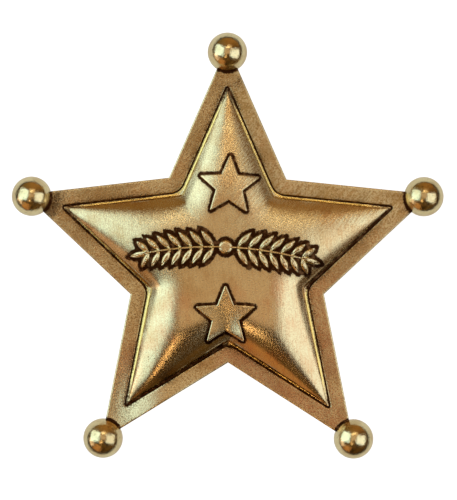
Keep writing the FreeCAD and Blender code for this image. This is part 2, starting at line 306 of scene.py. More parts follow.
def on_band(forward, upward):
    """A place on the leafy band: forward along its arch, upward from its stem."""
    x = (BAND_RADIUS + upward) * math.sin(forward / BAND_RADIUS)
    y = (BAND_RADIUS + upward) * math.cos(forward / BAND_RADIUS) - BAND_RADIUS
    cos, sin = math.cos(BAND_LEAN), math.sin(BAND_LEAN)
    return np.array([BAND_RIGHT, BAND_UP]) + np.array([[cos, -sin], [sin, cos]]) @ np.array([x, y])


print("right end of the band, mm:", np.round(on_band(BAND_HALF, 0), 2))

# %% [markdown]
# ### Leaves
#
# A cut leaf is where two round strokes of a tool cross, so it is the part that two
# circles share. Both circles follow from the leaf's ends and its width. A fine crease
# runs down the middle of each leaf as its rib.

# %% A leaf
LEAF_LENGTH, LEAF_WIDTH = 3.5, 1.05
LEAF_SPACING = 0.2
RIB_DEPTH, RIB_HALF = 0.12, 0.13
RIB_START, RIB_END = 0.12, 0.85


def arc_circle(a, b, c):
    """Centre and radius of the circle through three places."""
    middle = np.linalg.solve(2 * np.stack([b - a, c - a]), [b @ b - a @ a, c @ c - a @ a])
    return middle, float(np.linalg.norm(a - middle))


def circles_meet(one, r1, two, r2):
    """The two places where two circles cross."""
    line = two - one
    gap = float(np.linalg.norm(line))
    line /= gap
    along = (gap * gap + r1 * r1 - r2 * r2) / (2 * gap)
    half = math.sqrt(max(r1 * r1 - along * along, 0))
    return [one + along * line + side * half * np.array([-line[1], line[0]]) for side in (1, -1)]


def arc_points(middle, radius, begin, finish):
    """Points on a circle from one place up to the next, without the last."""
    a = math.atan2(*(begin - middle)[::-1])
    sweep = (math.atan2(*(finish - middle)[::-1]) - a + math.pi) % (2 * math.pi) - math.pi
    steps = max(4, round(abs(sweep) * radius / LEAF_SPACING))
    turns = a + sweep * np.arange(steps) / steps
    return middle + radius * np.stack([np.cos(turns), np.sin(turns)], axis=1)


def leaf(root, forward, upward, share=1.0):
    """A pointed leaf with two arched sides, growing from the stem in a direction."""
    length, half = LEAF_LENGTH * share, LEAF_WIDTH / 2
    start, left, end, right = [
        on_band(root + far * forward - side * upward, far * upward + side * forward)
        for far, side in ((0, 0), (length / 2, half), (length, 0), (length / 2, -half))
    ]
    (one, r1), (two, r2) = arc_circle(start, left, end), arc_circle(start, right, end)

    def away(points):
        first = np.linalg.norm(points - one, axis=1) - r1
        return np.maximum(first, np.linalg.norm(points - two, axis=1) - r2)

    def edge(grow):
        here, there = circles_meet(one, r1 + grow, two, r2 + grow)
        halves = [arc_points(one, r1 + grow, here, there), arc_points(two, r2 + grow, there, here)]
        return np.concatenate(halves)

    return {
        "away": away,
        "edge": edge,
        "wall": 0.12,
        "round": 0.42,
        "rings": (SIDE_LEAN, -SIDE_LEAN, -0.05, -0.12, -0.22, -0.34),
        "ground": BAND_GROUND,
        "rib": start + (end - start) * np.linspace(RIB_START, RIB_END, 13)[:, None],
    }


print("edge of a leaf:", len(leaf(0, 1, 0)["edge"](0)), "points")

# %% [markdown]
# ### Stem and pellet
#
# The stem is a thin strip with round ends that follows the bow, and the pellet is a
# low round drop in its middle. Both have simple distances: to a circle's line, and to
# a centre.

# %% Stem and pellet
STEM_WIDTH = 0.42
STEM_HALF = BAND_HALF - 0.2
PELLET_WIDTH = 2.3


def stem():
    """The band's stem, a strip with round ends."""
    ends = [on_band(side * STEM_HALF, 0) for side in (-1, 1)]
    centre = on_band(0, -BAND_RADIUS)

    def away(points):
        reach = np.abs(np.linalg.norm(points - centre, axis=1) - BAND_RADIUS)
        tips = np.minimum(*[np.linalg.norm(points - end, axis=1) for end in ends])
        bearing = np.arctan2(points[:, 0] - centre[0], points[:, 1] - centre[1]) + BAND_LEAN
        return np.where(np.abs(bearing) * BAND_RADIUS < STEM_HALF, reach, tips) - STEM_WIDTH / 2

    def edge(grow):
        wide = STEM_WIDTH / 2 + grow
        upper = [on_band(forward, wide) for forward in np.linspace(-STEM_HALF, STEM_HALF, 100)]
        lower = [on_band(forward, -wide) for forward in np.linspace(STEM_HALF, -STEM_HALF, 100)]
        caps = []
        for side, first in ((1, math.pi / 2), (-1, -math.pi / 2)):
            turns = [first - math.pi * step / 6 for step in range(1, 6)]
            caps.append([on_band(side * STEM_HALF + wide * math.cos(t), wide * math.sin(t)) for t in turns])
        return np.array(upper + caps[0] + lower + caps[1])

    return {
        "away": away,
        "edge": edge,
        "wall": 0.2,
        "round": 0.19,
        "rings": (SIDE_LEAN, -SIDE_LEAN, -0.07, -0.14),
        "ground": BAND_GROUND,
    }


def pellet():
    """The round drop in the middle of the band."""
    middle = on_band(0, 0)
    turns = np.linspace(0, 2 * np.pi, 33)[:-1]
    circle = np.stack([np.cos(turns), np.sin(turns)], axis=1)
    return {
        "away": lambda points: np.linalg.norm(points - middle, axis=1) - PELLET_WIDTH / 2,
        "edge": lambda grow: middle + (PELLET_WIDTH / 2 + grow) * circle,
        "wall": 0.1,
        "round": 0.55,
        "rings": (SIDE_LEAN, -SIDE_LEAN, -0.05, -0.12, -0.22, -0.35, -0.55),
        "ground": BAND_GROUND,
    }


print("edges of stem and pellet:", len(stem()["edge"](0)), "and", len(pellet()["edge"](0)), "points")

# %% [markdown]
# ### The whole ornament
#
# The leaves stand in pairs along the stem and get a little shorter towards its ends,
# where a last leaf points straight on. One loop sets all of them, so that their
# number and pitch can be changed in one place.

# %% The whole ornament
LEAF_SLANT = math.radians(52)
LEAF_FIRST, LEAF_PITCH, LEAF_PAIRS, LEAF_TAPER = 1.75, 1.74, 7, 0.2

ornament = [small_star(*place) for place in SMALL_STARS] + [stem(), pellet()]
for side in (-1, 1):
    for pair in range(LEAF_PAIRS):
        root = side * (LEAF_FIRST + pair * LEAF_PITCH)
        share = 1 - LEAF_TAPER * (pair / (LEAF_PAIRS - 1)) ** 3
        for upward in (-1, 1):
            ornament.append(leaf(root, side * math.cos(LEAF_SLANT), upward * math.sin(LEAF_SLANT), share))
    ornament.append(leaf(side * (BAND_HALF - STEM_WIDTH / 2), side, 0))
print("raised shapes:", len(ornament))

# %% [markdown]
# ## Heights over the whole face
#
# The rim has a rolled outer edge, a flat face with a fine grain, and a cut groove
# around the middle. Its profile is two short rows of stations, read by the distances
# from the star's edge and from the groove's line. The groove's inner side leans up to
# a narrow ledge, and the puffed middle stands on that with a short steep wall. With a
# deeper brass painted there as a reflection, this gives the thin bright line around it.
# A bevel tool would round all edges alike, and here each has its own shape.

# %% Profile of the rim and the middle's foot
EDGE_ROUND = 0.2
GROOVE_LEAN = 0.09
LEDGE_WIDTH, LEDGE_SLOPE, WALL_SLOPE, FOOT_SLOPE = 0.17, 0.37, 5.0, 0.75
turns = np.radians(np.arange(0, 91, 15))
edge_stations = EDGE_ROUND * (1 - np.cos(turns))
edge_levels = RIM_TOP + EDGE_ROUND * (np.sin(turns) - 1)
groove_line = ring(corners, -RIM_WIDTH, 0.35)
# distance out from the groove's middle line, and height there
groove_stations = np.array([0.02, 0.24, 0.29, 0.36, 0.38, 0.41, 0.46, 0.54])
groove_levels = FLOOR_OF_GROOVE + np.array([GROOVE_LEAN, 0.0, 0.0, 0.05, 0.22, 0.29, 0.33, 0.35])


def stand_on_ledge(puff, inside):
    """The puffed middle with a crisp foot: a ledge, a short wall, then the flank."""
    steepness = PUFF_RISE / FLANK_WIDTH
    depth = np.maximum(inside, 1e-6)
    half = ((puff / steepness) ** 2 / depth + depth) / 2
    ratio = FOOT_SLOPE / steepness
    out = ratio / math.sqrt(1 + ratio ** 2)
    meets = (1 - out) * half
    straight = steepness * math.sqrt(1 - out ** 2) * half - FOOT_SLOPE * (meets - depth)
    flank = np.where(depth < meets, straight, puff)
    ledge = GROOVE_LEAN + LEDGE_SLOPE * np.minimum(inside, LEDGE_WIDTH)
    wall = GROOVE_LEAN + LEDGE_SLOPE * LEDGE_WIDTH + WALL_SLOPE * (inside - LEDGE_WIDTH)
    return np.maximum(ledge, np.minimum(flank, wall))


print("rim profile:", len(edge_stations), "stations on its edge and", len(groove_stations), "in the groove")

# %% [markdown]
# ### Height of any place
#
# The ornament is added on top of the puffed middle. At each place the highest of its
# shapes counts, so that leaves and stem melt into one casting, as they do in metal.
# Separate pieces laid on top would show a seam that the real badge doesn't have.

# %% Height of the face
FAR_AWAY = 9.0
AT_FOOT = -1e-7


def raised(shape, away):
    """Height of one raised shape: a steep wall and a rounded top."""
    wall = shape["wall"] * np.clip((SIDE_LEAN - away) / (2 * SIDE_LEAN), 0, 1)
    inward = np.clip((-SIDE_LEAN - away) / shape["round"], 0, 1)
    return wall + (RELIEF - shape["wall"]) * np.sqrt(1 - (1 - inward) ** 2)


def face_height(points):
    """Height of the badge's face, with the distances that the finish needs."""
    edge = -distance_to(corners, points)
    groove = distance_to(groove_line, points)
    rolled = np.interp(edge, edge_stations, edge_levels)
    rim = np.minimum(rolled, np.interp(groove, groove_stations, groove_levels))
    puff, inside = puff_height(points, foot, PUFF_RISE, FLANK_WIDTH)
    extra = np.zeros(len(points))
    ground = np.zeros(len(points))
    nearest = np.full(len(points), FAR_AWAY)
    for shape in ornament:
        away = shape["away"](points)
        lift = raised(shape, away)
        if "rib" in shape:
            off = to_line(points, shape["rib"][0], shape["rib"][-1])
            lift = lift - RIB_DEPTH * np.clip(1 - off / RIB_HALF, 0, 1)
        extra = np.maximum(extra, lift)
        close, far = shape["ground"]
        ground = np.maximum(ground, np.clip((far - away) / (far - close), 0, 1))
        nearest = np.minimum(nearest, away)
    middle = FLOOR_OF_GROOVE + stand_on_ledge(puff, inside) + extra
    return np.where(inside >= AT_FOOT, middle, rim), edge, groove, inside, nearest, ground


print("height of the face over the centre:", round(float(face_height(trial)[0][0]), 2), "mm")

# %% [markdown]
# ## Making the casting's mesh
#
# The rings are laid in the plan, with loose points between them, and all are joined
# into triangles that keep to the rings. Then each point is lifted to its height. A
# fine even grid would be simpler, but its edges would cut across every wall and make
# it ragged. Here the mesh turns exactly where the metal does.

# %% Loose points and triangles
# the height of a triangle with sides of 1
ROW_SHARE = 0.866
# kind 1 keeps the triangles inside the outline
INSIDE_ONLY = 1
SAME_PLACE = 1e-6


def loose_points(outline, spacing, keep):
    """Points in rows, every second row shifted by half a space, where keep says so."""
    low, high = outline.min(axis=0), outline.max(axis=0)
    rows = np.arange(low[1], high[1], spacing * ROW_SHARE)
    columns = np.arange(low[0], high[0], spacing)
    grid = np.array([(x + spacing / 2 * (i % 2), y) for i, y in enumerate(rows) for x in columns])
    return grid[keep(grid)]


def triangulate(loops, loose):
    """Triangles that keep to every loop, and where the first loop's points ended up."""
    points = np.concatenate(loops + [loose])
    edges = []
    start = 0
    for loop in loops:
        count = len(loop)
        edges.extend((start + i, start + (i + 1) % count) for i in range(count))
        start += count
    flat = [Vector((x, y)) for x, y in points]
    made, _, faces, origin, _, _ = delaunay_2d_cdt(flat, edges, [], INSIDE_ONLY, SAME_PLACE)
    first = {}
    for index, sources in enumerate(origin):
        for source in sources:
            if source < len(loops[0]):
                first[source] = index
    border = [first[i] for i in range(len(loops[0]))]
    return np.array([(v.x, v.y) for v in made]), [tuple(face) for face in faces], border


outer = ring(corners, 0, 0.5)
print("points around the outer edge:", len(outer))

# %% [markdown]
# ### The face
#
# The face gets a ring at each station of the rim, a few around the foot of the middle
# and those of every raised shape. The loose points keep clear of them, because a point
# close beside a ring would only make thin triangles.

# %% Rings and triangles of the face
FOOT_LOOPS = (0.08, 0.17, 0.23, 0.29, 0.35, 0.45, 0.6, 0.83, 1.1, 1.4)
EDGE_CLEAR, FOOT_CLEAR, RELIEF_CLEAR_OUT, RELIEF_CLEAR_IN = 0.15, 0.12, 0.1, 0.28

top_loops = [outer]
top_loops += [ring(corners, -station, 0.5) for station in edge_stations[1:]]
top_loops += [ring(groove_line, station, 0.4) for station in groove_stations]
top_loops.append(ring(foot, 0, 0.4))
top_loops += [ring(foot, -inset, 0.4, rounded=False) for inset in FOOT_LOOPS]
for shape in ornament:
    top_loops += [shape["edge"](grow) for grow in shape["rings"]]
    if "rib" in shape:
        line = shape["rib"]
        side = np.array([-(line[-1] - line[0])[1], (line[-1] - line[0])[0]])
        side *= RIB_HALF / np.linalg.norm(side)
        top_loops.append(np.concatenate([line + side, (line - side)[::-1]]))


def clear_of_rings(grid):
    """Which points lie on the open parts of the rim and of the middle."""
    _, edge, groove, inside, nearest, _ = face_height(grid)
    on_rim = (edge > EDGE_ROUND + EDGE_CLEAR) & (groove > groove_stations[-1] + FOOT_CLEAR)
    clear_of_relief = (nearest > RELIEF_CLEAR_OUT) | (nearest < -RELIEF_CLEAR_IN)
    return on_rim | ((inside > FOOT_LOOPS[-1] + FOOT_CLEAR) & clear_of_relief)


top_plan, top_faces, top_border = triangulate(top_loops, loose_points(corners, 0.3, clear_of_rings))
top_height, edge, groove, inside, nearest, ground = face_height(top_plan)
print("face:", len(top_plan), "points and", len(top_faces), "triangles")
print("highest place of the face:", round(float(top_height.max()), 3), "mm")

# %% [markdown]
# ### The hollow back
#
# The back of the real badge is never polished. It is flat along the rim, and hollow
# behind the puffed middle, with walls a little over 1 mm thick. A solidify tool could
# thicken the face, but it would carry the ornament through to the back. The hollow has
# the middle's own formula instead, with a smaller outline and a lower rise.

# %% The hollow back
BACK_ROUND = 0.12
BACK_KNEE = 0.3
SPRING_LEAN = 0.03
HOLLOW_FLANK = FLANK_WIDTH - WALL
BACK_EDGE_CLEAR, HOLLOW_CLEAR_OUT, HOLLOW_CLEAR_IN = 0.5, 0.3, 1.7

hollow = ring(corners, -RIM_WIDTH - WALL, CORNERS_ONLY, rounded=False)
hollow_rise = PLATE_THICK - GROOVE_DEPTH + PUFF_RISE - WALL - HOLLOW_SPRING
back_loops = [outer, ring(corners, -BACK_ROUND, 0.8), ring(hollow, 0, 0.6)]
for degrees in (0, 8, 18, 30, 44):
    grow = -SPRING_LEAN - HOLLOW_FLANK * (1 - math.cos(math.radians(degrees)))
    back_loops.append(ring(hollow, grow, 0.6, rounded=False))


def back_height(points):
    """Height of the badge's back, and the distances from its edge and the hollow's."""
    edge = -distance_to(corners, points)
    puff, inside = puff_height(points, hollow, hollow_rise, HOLLOW_FLANK)
    knee = BACK_ROUND * BACK_KNEE
    rolled = PLATE_LOW + np.interp(edge, [0, knee, BACK_ROUND], [BACK_ROUND, knee, 0])
    step = HOLLOW_SPRING * np.clip(inside / SPRING_LEAN, 0, 1)
    return np.where(inside > 0, PLATE_LOW + step + puff, rolled), edge, inside


def clear_of_back_rings(grid):
    """Which points lie on the open parts of the back and of the hollow."""
    _, edge, inside = back_height(grid)
    return ((edge > BACK_EDGE_CLEAR) & (inside < -HOLLOW_CLEAR_OUT)) | (inside > HOLLOW_CLEAR_IN)


back_loose = loose_points(corners, 0.7, clear_of_back_rings)
back_plan, back_faces, back_border = triangulate(back_loops, back_loose)
back_levels = back_height(back_plan)[0]
print("back:", len(back_plan), "points,", len(back_faces), "triangles")

# %% [markdown]
# ## Wear and painted light, measured on the shape
#
# Brass that has been darkened and rubbed stays dark where a cloth can't reach and is
# bright where hands and cloth do. Painted light is worked out here too: painted shade
# on the ledge, around the balls, groove and ornament and in the valleys, highlights
# painted as lightened spots, and a reflection painted at the middle's foot. Those places
# could be painted by hand, but they follow from the shape: the groove, the raised work,
# the tips, the notches and the balls. So each kind of wear and painted light is worked
# out from distances and stored on the mesh's points, where the finish reads it.

# %% Distances that the wear and painted light go by
# ball reach, ball bearing, clockwise from the top
BALLS = (
    ("top", 34.01, 90.1),
    ("upper_right", 33.24, 19.1),
    ("lower_right", 34.44, -54.2),
    ("lower_left", 34.24, -125.7),
    ("upper_left", 33.29, 160.8),
)


def fade(value, start, full):
    """0 on start's side, 1 on full's side and a straight change between them."""
    return np.clip((value - start) / (full - start), 0, 1)


def line_at(value, place, width):
    """1 where value is at place, down to 0 a width away."""
    return np.clip(1 - np.abs(value - place) / width, 0, 1)


def blot(place, size):
    """A soft round spot on the face; size is the square of its reach in mm."""
    return np.exp(-np.sum((top_plan - place) ** 2, axis=1) / size)


def nearest_of(places):
    """Distance from each point of the face to the nearest of some places."""
    return np.min([np.linalg.norm(top_plan - place, axis=1) for place in places], axis=0)


beside_ball = nearest_of([polar(reach, bearing) for _, reach, bearing in BALLS]) - BALL_RADIUS
near_notch = nearest_of(foot[1::2])
at_tip = fade(nearest_of(foot[::2]), 4.5, 1.5)
on_middle = inside > 0
off_middle = inside < 0
outside_relief = fade(nearest, -0.03, -0.01)
print("points on the middle:", int(on_middle.sum()), "and on the rim:", int(off_middle.sum()))

# %% [markdown]
# ### Patina and painted shade
#
# The dip leaves a black line along the groove, in the fold above its ledge, in the
# seams around the balls and on the ground beside the raised work. The ledge itself was
# mostly rubbed clean. Painted shade darkens it on the sides that face down and to the
# right, and near the tips.

# %% Dark patina and painted shade on the ledge
facing = edge_normals(foot)[nearest_edge(foot, top_plan)]
# painted shade: the ledge is darkened where it faces the lower right, where it faces down and near the tips
facing_lower_right = fade(facing @ polar(1, -60), 0.7, 0.9)
facing_down = facing[:, 1] < -0.3
painted_ledge_shade = np.maximum.reduce([facing_lower_right, 0.45 * facing_down, 0.5 * at_tip])

in_groove = fade(groove, GROOVE_WIDTH + 0.03, GROOVE_WIDTH - 0.03) * fade(groove, 0.19, 0.24)
in_groove = in_groove * (1.25 - 0.2 * at_tip)
on_ledge = painted_ledge_shade * fade(groove, 0.25, 0.19) * fade(groove, -0.2, -0.14)
in_fold = 0.6 * line_at(groove, -0.24, 0.09)
in_seam = fade(beside_ball, 0.42, 0.17)
on_ground = ground * outside_relief * on_middle
# real patina and the painted shade on the ledge together
patina_and_shade = np.maximum.reduce([in_groove, on_ledge, in_fold, in_seam, on_ground])
print("points in patina:", int((patina_and_shade > 0.5).sum()))

# %% [markdown]
# ### Painted shade and dirt dots
#
# Around the black lines lies painted shade, a thinner brown darkening. It spreads from
# the balls, the groove and the ornament, and it lies in the valleys at the notches, at
# the tips of the middle and on the inner flank of the lower left arm. The same values
# also place fine dots of dirt.

# %% Painted shade and dirt dots
LOWER_LEFT_SHADE = (-9.5, -17.5)
LOWER_ARMS_Y = -18

by_ball = fade(beside_ball, 5.0, 1.0) * np.where(top_plan[:, 1] < LOWER_ARMS_Y, 0.7, 1.0)
by_groove = 0.9 * fade(groove, GROOVE_WIDTH + 1.3, GROOVE_WIDTH) * off_middle
by_relief = 0.8 * fade(nearest, 1.3, 0.1) * outside_relief * on_middle
in_valley = 0.45 * fade(near_notch, 6.0, 1.5) * fade(inside, 3.2, 0.6) * on_middle
lower_left_shade = blot(LOWER_LEFT_SHADE, 18) * on_middle
at_foot = at_tip * fade(groove, 0.3, 0.2) * fade(groove, -0.5, -0.2)
# painted shade: brown darkening beside balls, groove and ornament, in the valleys, at the tips and on the
# lower left flank
shade_and_dirt = np.maximum.reduce([by_ball, by_groove, by_relief, in_valley, lower_left_shade, at_foot])
print("points in smudges:", int((shade_and_dirt > 0.5).sum()))

# %% [markdown]
# ### Rubbed edges, worn spots and painted highlights
#
# Hands polish what stands out: the edges of the raised work, the rim's outer edge and
# the line at the middle's foot, which also gets a painted reflection. Some spots are
# worn bare and lightened as painted highlights, on the rim of the lower left arm and in
# four places on the middle. The rim has a coarser grain than the middle, and the
# middle was brushed harder at its upper right.

# %% Rubbed edges, worn spots and painted highlights
RIM_WEAR_AND_HIGHLIGHT, RIM_WEAR_AND_HIGHLIGHT_SIZE = (-14.5, -23.0), 50
SPOTS_OF_WEAR_AND_HIGHLIGHT, SPOT_OF_WEAR_AND_HIGHLIGHT_SIZE = ((8.5, 7.0), (-8.0, 7.5), (3.5, 18.0), (-0.4, -9.0)), 24

# painted reflection and wear: the line at the middle's foot is rubbed bare and gets a deeper brass
foot_line = fade(groove, 0.25, 0.21) * fade(groove, -0.22, -0.16) * (1 - at_tip)
rub = np.maximum.reduce([line_at(nearest, -0.09, 0.09), line_at(edge, 0.15, 0.2), foot_line])
# painted highlights: the worn spots are lightened where highlights fall on the rim and on the middle
wear_and_highlight = blot(RIM_WEAR_AND_HIGHLIGHT, RIM_WEAR_AND_HIGHLIGHT_SIZE) * off_middle
for spot in SPOTS_OF_WEAR_AND_HIGHLIGHT:
    wear_and_highlight = np.maximum(wear_and_highlight, blot(spot, SPOT_OF_WEAR_AND_HIGHLIGHT_SIZE) * on_middle)
rim = fade(groove, GROOVE_WIDTH, GROOVE_WIDTH + 0.05) * off_middle
brushed = fade(top_plan[:, 0], -1, 2) * np.maximum(fade(top_plan[:, 1], 3, 8), 0.15)
relief = fade(nearest, 0, -0.05)
print("points rubbed:", int((rub > 0.5).sum()), "worn bare:", int((wear_and_highlight > 0.5).sum()))

# %% [markdown]
# ### Slight bends
#
# No casting is quite true. The worn, lightened rim of the lower left arm is bowed a
# little, and the lower small star leans with a shallow hollow across it, so both catch
# the light in another place than a perfect shape would. The bends are thinner than a
# hair. They are stored as heights and only tilt the shading, so that the shape keeps
# its measures.

# %% Slight bends
RIM_BOW = 0.25
STAR_LEAN_RIGHT, STAR_LEAN_UP, STAR_HOLLOW = 0.09, -0.04, 0.0925
HOLLOW_LOW, HOLLOW_HIGH = -2.2, 1.8

bend = RIM_BOW * (top_plan[:, 0] - RIM_WEAR_AND_HIGHLIGHT[0]) * blot(RIM_WEAR_AND_HIGHLIGHT, RIM_WEAR_AND_HIGHLIGHT_SIZE)
across = top_plan[:, 0] - SMALL_STARS[1][0]
up = top_plan[:, 1] - SMALL_STARS[1][1]
on_lower_star = small_star(*SMALL_STARS[1])["away"](top_plan) < -SIDE_LEAN
near_middle = np.clip(up, HOLLOW_LOW, HOLLOW_HIGH)
hollowed = STAR_HOLLOW * near_middle * (up - near_middle / 2)
bend = bend + (STAR_LEAN_RIGHT * across + STAR_LEAN_UP * up + hollowed) * on_lower_star
print("bends from", round(float(bend.min()), 2), "to", round(float(bend.max()), 2), "mm")

# %% [markdown]
# ## The casting
#
# The real star is one casting, so face, back and outer edge become one closed mesh: a
# strip of four-sided faces joins the two borders point by point. All faces are shaded
# smooth, apart from edges that turn by more than 29 degrees, where the metal has a
# crisp corner.

# %% One mesh from face, back and outer edge
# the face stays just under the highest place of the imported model
HIGHEST = 7.47
CRISP_CORNER = math.radians(29)


def metres(plan, levels):
    """Points in the badge's frame, in metres, from the plan in millimetres."""
    return np.column_stack([plan + CENTRE, levels]) * MM


face_count = len(top_plan)
points = np.concatenate([metres(top_plan, np.minimum(top_height, HIGHEST)), metres(back_plan, back_levels)])
faces = list(top_faces)
faces += [tuple(face_count + i for i in face[::-1]) for face in back_faces]
for i, above in enumerate(top_border):
    j = (i + 1) % len(top_border)
    faces.append((above, top_border[j], face_count + back_border[j], face_count + back_border[i]))

mesh = bpy.data.meshes.new("star_casting")
mesh.from_pydata(points.tolist(), [], faces)
mesh.update()
# name, values on the face and the one value that the whole back gets
STORES = (
    ("patina_and_shade", patina_and_shade, 0.35),
    ("rub", rub, 0.0),
    ("rim", rim, 1.0),
    ("foot_line", foot_line, 0.0),
    ("brushed", brushed, 0.0),
    ("shade_and_dirt", shade_and_dirt, 0.5),
    ("bend", bend, 0.0),
    ("wear_and_highlight", wear_and_highlight, 0.0),
    ("relief", relief, 0.0),
)
for name, face_values, back_value in STORES:
    values = np.concatenate([face_values, np.full(len(back_plan), back_value)])
    mesh.attributes.new(name, "FLOAT", "POINT").data.foreach_set("value", values.astype(np.float32))
mesh.shade_smooth()
mesh.set_sharp_from_angle(angle=CRISP_CORNER)
star = bpy.data.objects.new("star_casting", mesh)
bpy.context.scene.collection.objects.link(star)
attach(star, "root")
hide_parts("star")
print("casting:", len(mesh.polygons), "faces, box mm", [round(x / MM, 2) for x in star.dimensions])

# %% [markdown]
# ## Finishes
#
# All finishes are built from a few small noise patterns in millimetres of the real
# badge. A picture of brass would be quicker, but it would stretch and repeat, and it
# couldn't follow the wear. A few helpers keep the node building readable: one makes a
# node and fills or links its inputs, and the others are the sums that come up again
# and again.


# %% Helpers for finishes
def node(tree, kind, settings=None, **inputs):
    """Makes a shader node. Inputs are numbers, colours or other nodes' outputs."""
    made = tree.nodes.new("ShaderNode" + kind)
    for key, value in (settings or {}).items():
        setattr(made, key, value)
    for key, value in inputs.items():
        index = int(key[2:]) if key.startswith("in") and key[2:].isdigit() else key.replace("_", " ")
        if isinstance(value, bpy.types.NodeSocket):
            tree.links.new(value, made.inputs[index])
        else:
            made.inputs[index].default_value = value
    return made


def mixed(tree, amount, first, second):
    """Colour between first and second."""
    return node(tree, "Mix", {"data_type": "RGBA"}, in0=amount, in6=first, in7=second).outputs[2]


def calc(tree, operation, first, second, clamp=False):
    """One sum of two numbers."""
    settings = {"operation": operation, "use_clamp": clamp}
    return node(tree, "Math", settings, in0=first, in1=second).outputs[0]


def plus(tree, first, second, clamp=False):
    """The two added up."""
    return calc(tree, "ADD", first, second, clamp)


def times(tree, first, second, clamp=False):
    """The two multiplied."""
    return calc(tree, "MULTIPLY", first, second, clamp)


def most(tree, first, second):
    """The larger of the two."""
    return calc(tree, "MAXIMUM", first, second)


def slide(tree, value, start, end):
    """From start where value is 0 to end where it is 1."""
    return plus(tree, start, times(tree, value, end - start))


def ramp(tree, value, low, high):
    """Turns low..high into 0..1 with soft ends."""
    made = node(tree, "MapRange", {"interpolation_type": "SMOOTHSTEP"}, Value=value)
    made.inputs["From Min"].default_value = low
    made.inputs["From Max"].default_value = high
    return made.outputs[0]


def bump(tree, height, strength, depth, **below):
    """Fine relief for a shader, where a height of 1 stands for a depth in metres."""
    return node(tree, "Bump", Strength=strength, Distance=depth, Height=height, **below).outputs[0]


helpers = (node, mixed, calc, plus, times, most, slide, ramp, bump)
print("helpers:", ", ".join(helper.__name__ for helper in helpers))

# %% [markdown]
# ### Where the patterns lie
#
# A pattern has to stay on the metal when the badge moves, so its coordinates are the
# piece's own. They could be unwrapped onto a plane, but noise fills space and needs no
# unwrapping. Turned and stretched coordinates make scratches out of the same noise.


# %% Coordinates, noise and stored wear
def coordinates(tree, turn=0.0, stretch=(1, 1, 1)):
    """Coordinates in millimetres, turned about Z and then stretched."""
    local = node(tree, "TexCoord").outputs["Object"]
    turned = node(tree, "Mapping", Vector=local, Rotation=(0, 0, turn))
    return node(tree, "Mapping", Vector=turned.outputs[0], Scale=[s / MM for s in stretch]).outputs[0]


def noise(tree, where, scale, detail=2.0, rough=0.5):
    """Cloudy noise with about scale waves to a millimetre."""
    return node(tree, "TexNoise", Vector=where, Scale=scale, Detail=detail, Roughness=rough).outputs["Fac"]


def stored(tree, name):
    """One of the values that are stored on the casting's points."""
    return node(tree, "Attribute", {"attribute_name": name}).outputs["Fac"]


def finish(name):
    """A fresh material with its tree and shader."""
    material = bpy.data.materials.new(name)
    material.use_nodes = True
    tree = material.node_tree
    tree.nodes.clear()
    shader = node(tree, "BsdfPrincipled")
    node(tree, "OutputMaterial", Surface=shader.outputs[0])
    return material, tree, shader


print("stored on the casting:", ", ".join(name for name, _, _ in STORES))

# %% [markdown]
# ### Antiqued brass
#
# The casting is yellow brass, dipped dark and then rubbed bright. Colour goes from
# clean brass through a brownish film to near-black patina, with painted shade, painted
# highlights and a painted reflection mixed in. One plain brass colour would look like
# plastic, because it is the dirt that tells the eye how old and how large the badge is.

# %% Colours of the casting
BRASS = (0.90, 0.77, 0.44, 1)
# deeper brass of the painted reflection at the middle's foot
FOOT_REFLECTION_BRASS = (0.95, 0.72, 0.24, 1)
FILM = (0.60, 0.38, 0.14, 1)
COPPERY = (0.78, 0.41, 0.19, 1)
TARNISH = (0.40, 0.28, 0.11, 1)
RED_TARNISH = (0.46, 0.22, 0.10, 1)
# brown of the painted shade
SHADE_BROWN = (0.34, 0.17, 0.035, 1)
BROWN = (0.17, 0.085, 0.035, 1)
# near-black of the patina and of the painted shade on the ledge
PATINA_AND_SHADE_BLACK = (0.042, 0.014, 0.004, 1)

antique, tree, shader = finish("antique_brass")
shader.inputs["Metallic"].default_value = 1.0
print("brass from", BRASS[:3], "to", PATINA_AND_SHADE_BLACK[:3])

# %% [markdown]
# The rubbed face has a fine grain and short scratches, slanting at the right and
# upright at the left, as a cloth was drawn over it. Both come from noise: even noise
# for the grain, and noise that is thin across and long the other way for scratches.

# %% Grain and scratches
SCRATCH = (4.6, 0.35, 1)

plain = coordinates(tree)
up_down = node(tree, "SeparateXYZ", Vector=plain).outputs["Y"]
low_down = ramp(tree, up_down, 8.0, -22.0)
on_rim = stored(tree, "rim")
to_right = stored(tree, "brushed")
slanting = noise(tree, coordinates(tree, math.radians(40), SCRATCH), 1.0)
upright = noise(tree, coordinates(tree, math.radians(-6), SCRATCH), 1.0)
streaks = plus(tree, times(tree, slanting, to_right), times(tree, upright, slide(tree, to_right, 1.0, 0.0)))
speckle = noise(tree, plain, 3.0, 3.0, 0.6)
grain = noise(tree, plain, 4.4, 2.0, 0.7)
print("patterns so far:", len(tree.nodes), "nodes")

# %% [markdown]
# Patina is solid in the corners and breaks up into specks beside them. So noise is
# added to the stored patina and ledge shade before it is cut into dark and clean. The
# same is done for the painted shade, with a finer noise that leaves only dots of dirt.

# %% Where the dark stays
broken = plus(tree, stored(tree, "patina_and_shade"), slide(tree, speckle, -0.55, 0.55))
broken = plus(tree, broken, slide(tree, noise(tree, plain, 0.55, 1.0), -0.25, 0.25))
pits = ramp(tree, speckle, 0.68, 0.76)
dark = most(tree, ramp(tree, broken, 0.36, 0.74), pits)

soiled = times(tree, stored(tree, "shade_and_dirt"), ramp(tree, noise(tree, plain, 0.2, 2.0), 0.3, 0.62))
dots = plus(tree, times(tree, soiled, 0.42), noise(tree, plain, 7.0, 1.0))
dark = most(tree, dark, times(tree, ramp(tree, dots, 0.76, 0.88), 0.85))
print("with patina:", len(tree.nodes), "nodes")

